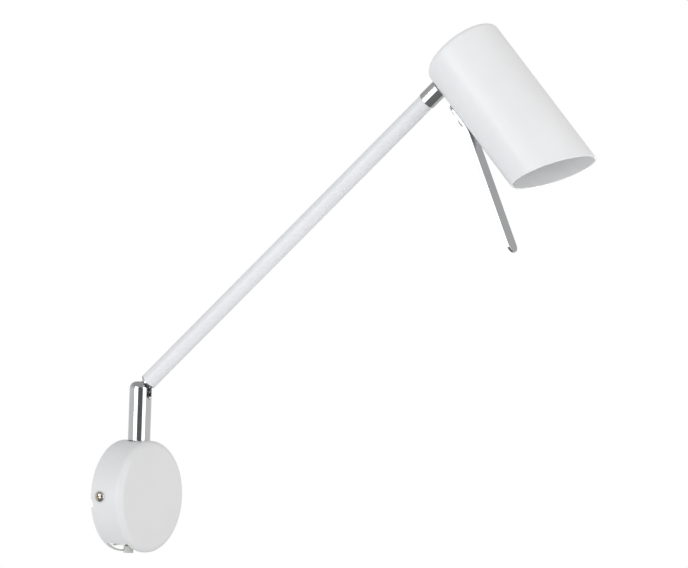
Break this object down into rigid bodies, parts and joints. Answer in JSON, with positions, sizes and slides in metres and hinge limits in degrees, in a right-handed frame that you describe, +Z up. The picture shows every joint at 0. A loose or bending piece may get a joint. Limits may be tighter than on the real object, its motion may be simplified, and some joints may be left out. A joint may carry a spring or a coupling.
{
  "type": "wall reading lamp",
  "caption": "Bedside wall reading lamp: round wall cover, swivelling chrome stem, straight hinged arm, and a tubular shade with a slanted mouth and a bent lever for turning it.",
  "frame": {"origin": "centre of the wall cover's back, on the wall", "axes": "+X right seen from the front, +Y into the wall (the lamp stands out along -Y), +Z up; the arm's plane at rest is X = 0"},
  "size_m": [0.085, 0.3712, 0.3742],
  "materials": {
    "white_coat": "smooth satin white powder coat",
    "arm_coat": "smooth satin white powder coat",
    "chrome": "polished chrome plate",
    "zinc_steel": "bright zinc plate",
    "nickel_brass": "nickel plated brass",
    "bare_brass": "bare brass",
    "white_plastic": "moulded white plastic",
    "grey_plastic": "moulded grey plastic",
    "black_plastic": "moulded black plastic",
    "wire": "flexible insulation",
    "ceramic": "white glazed ceramic",
    "lamp_metal": "satin silver",
    "lamp_glass": "lightly frosted"
  },
  "bodies": {
    "wall_base": {"canopy_cover": "white_coat", "wall_bracket": "zinc_steel", "canopy_screws": "nickel_brass", "cable_bush": "grey_plastic", "terminal_block": "white_plastic", "terminal_screws": "zinc_steel", "block_screw": "zinc_steel", "earth_tag": "bare_brass", "earth_screw": "bare_brass", "base_leads": "wire", "stem_saddle": "black_plastic", "stem_washer": "zinc_steel"},
    "stem_unit": {"stem": "chrome", "stop_collar": "zinc_steel", "stem_nuts": "zinc_steel", "hinge_screw": "chrome", "stem_leads": "wire"},
    "arm_unit": {"arm_knuckle": "chrome", "hinge_washers": "zinc_steel", "arm_tube": "arm_coat", "neck_sleeve": "chrome", "neck_nut": "zinc_steel", "arm_leads": "wire"},
    "head_unit": {"shade_shell": "white_coat", "neck_saddle": "zinc_steel", "neck_washer": "zinc_steel", "lever_handle": "chrome", "lever_screw_upper": "chrome", "lever_screw_lower": "chrome", "lever_nut_upper": "zinc_steel", "lever_nut_lower": "zinc_steel", "holder_bracket": "zinc_steel", "lampholder": "ceramic", "holder_screws": "zinc_steel", "lamp_body": "lamp_metal", "lamp_pins": "zinc_steel", "lamp_lens": "lamp_glass", "head_leads": "wire"}
  },
  "joints": [
    {"name": "stem_swivel", "type": "hinge", "parent": "wall_base", "child": "stem_unit", "pos_m": [0, -0.012, 0.04], "axis": [0, 0, 1], "range_deg": [-75, 75]},
    {"name": "arm_tilt", "type": "hinge", "parent": "stem_unit", "child": "arm_unit", "pos_m": [0, -0.012, 0.0764], "axis": [-1, 0, 0], "range_deg": [-41.6, 48.4]},
    {"name": "head_swivel", "type": "hinge", "parent": "arm_unit", "child": "head_unit", "pos_m": [0, -0.27448, 0.30944], "axis": [0, -0.7478, 0.6639], "range_deg": [-165, 165]}
  ]
}
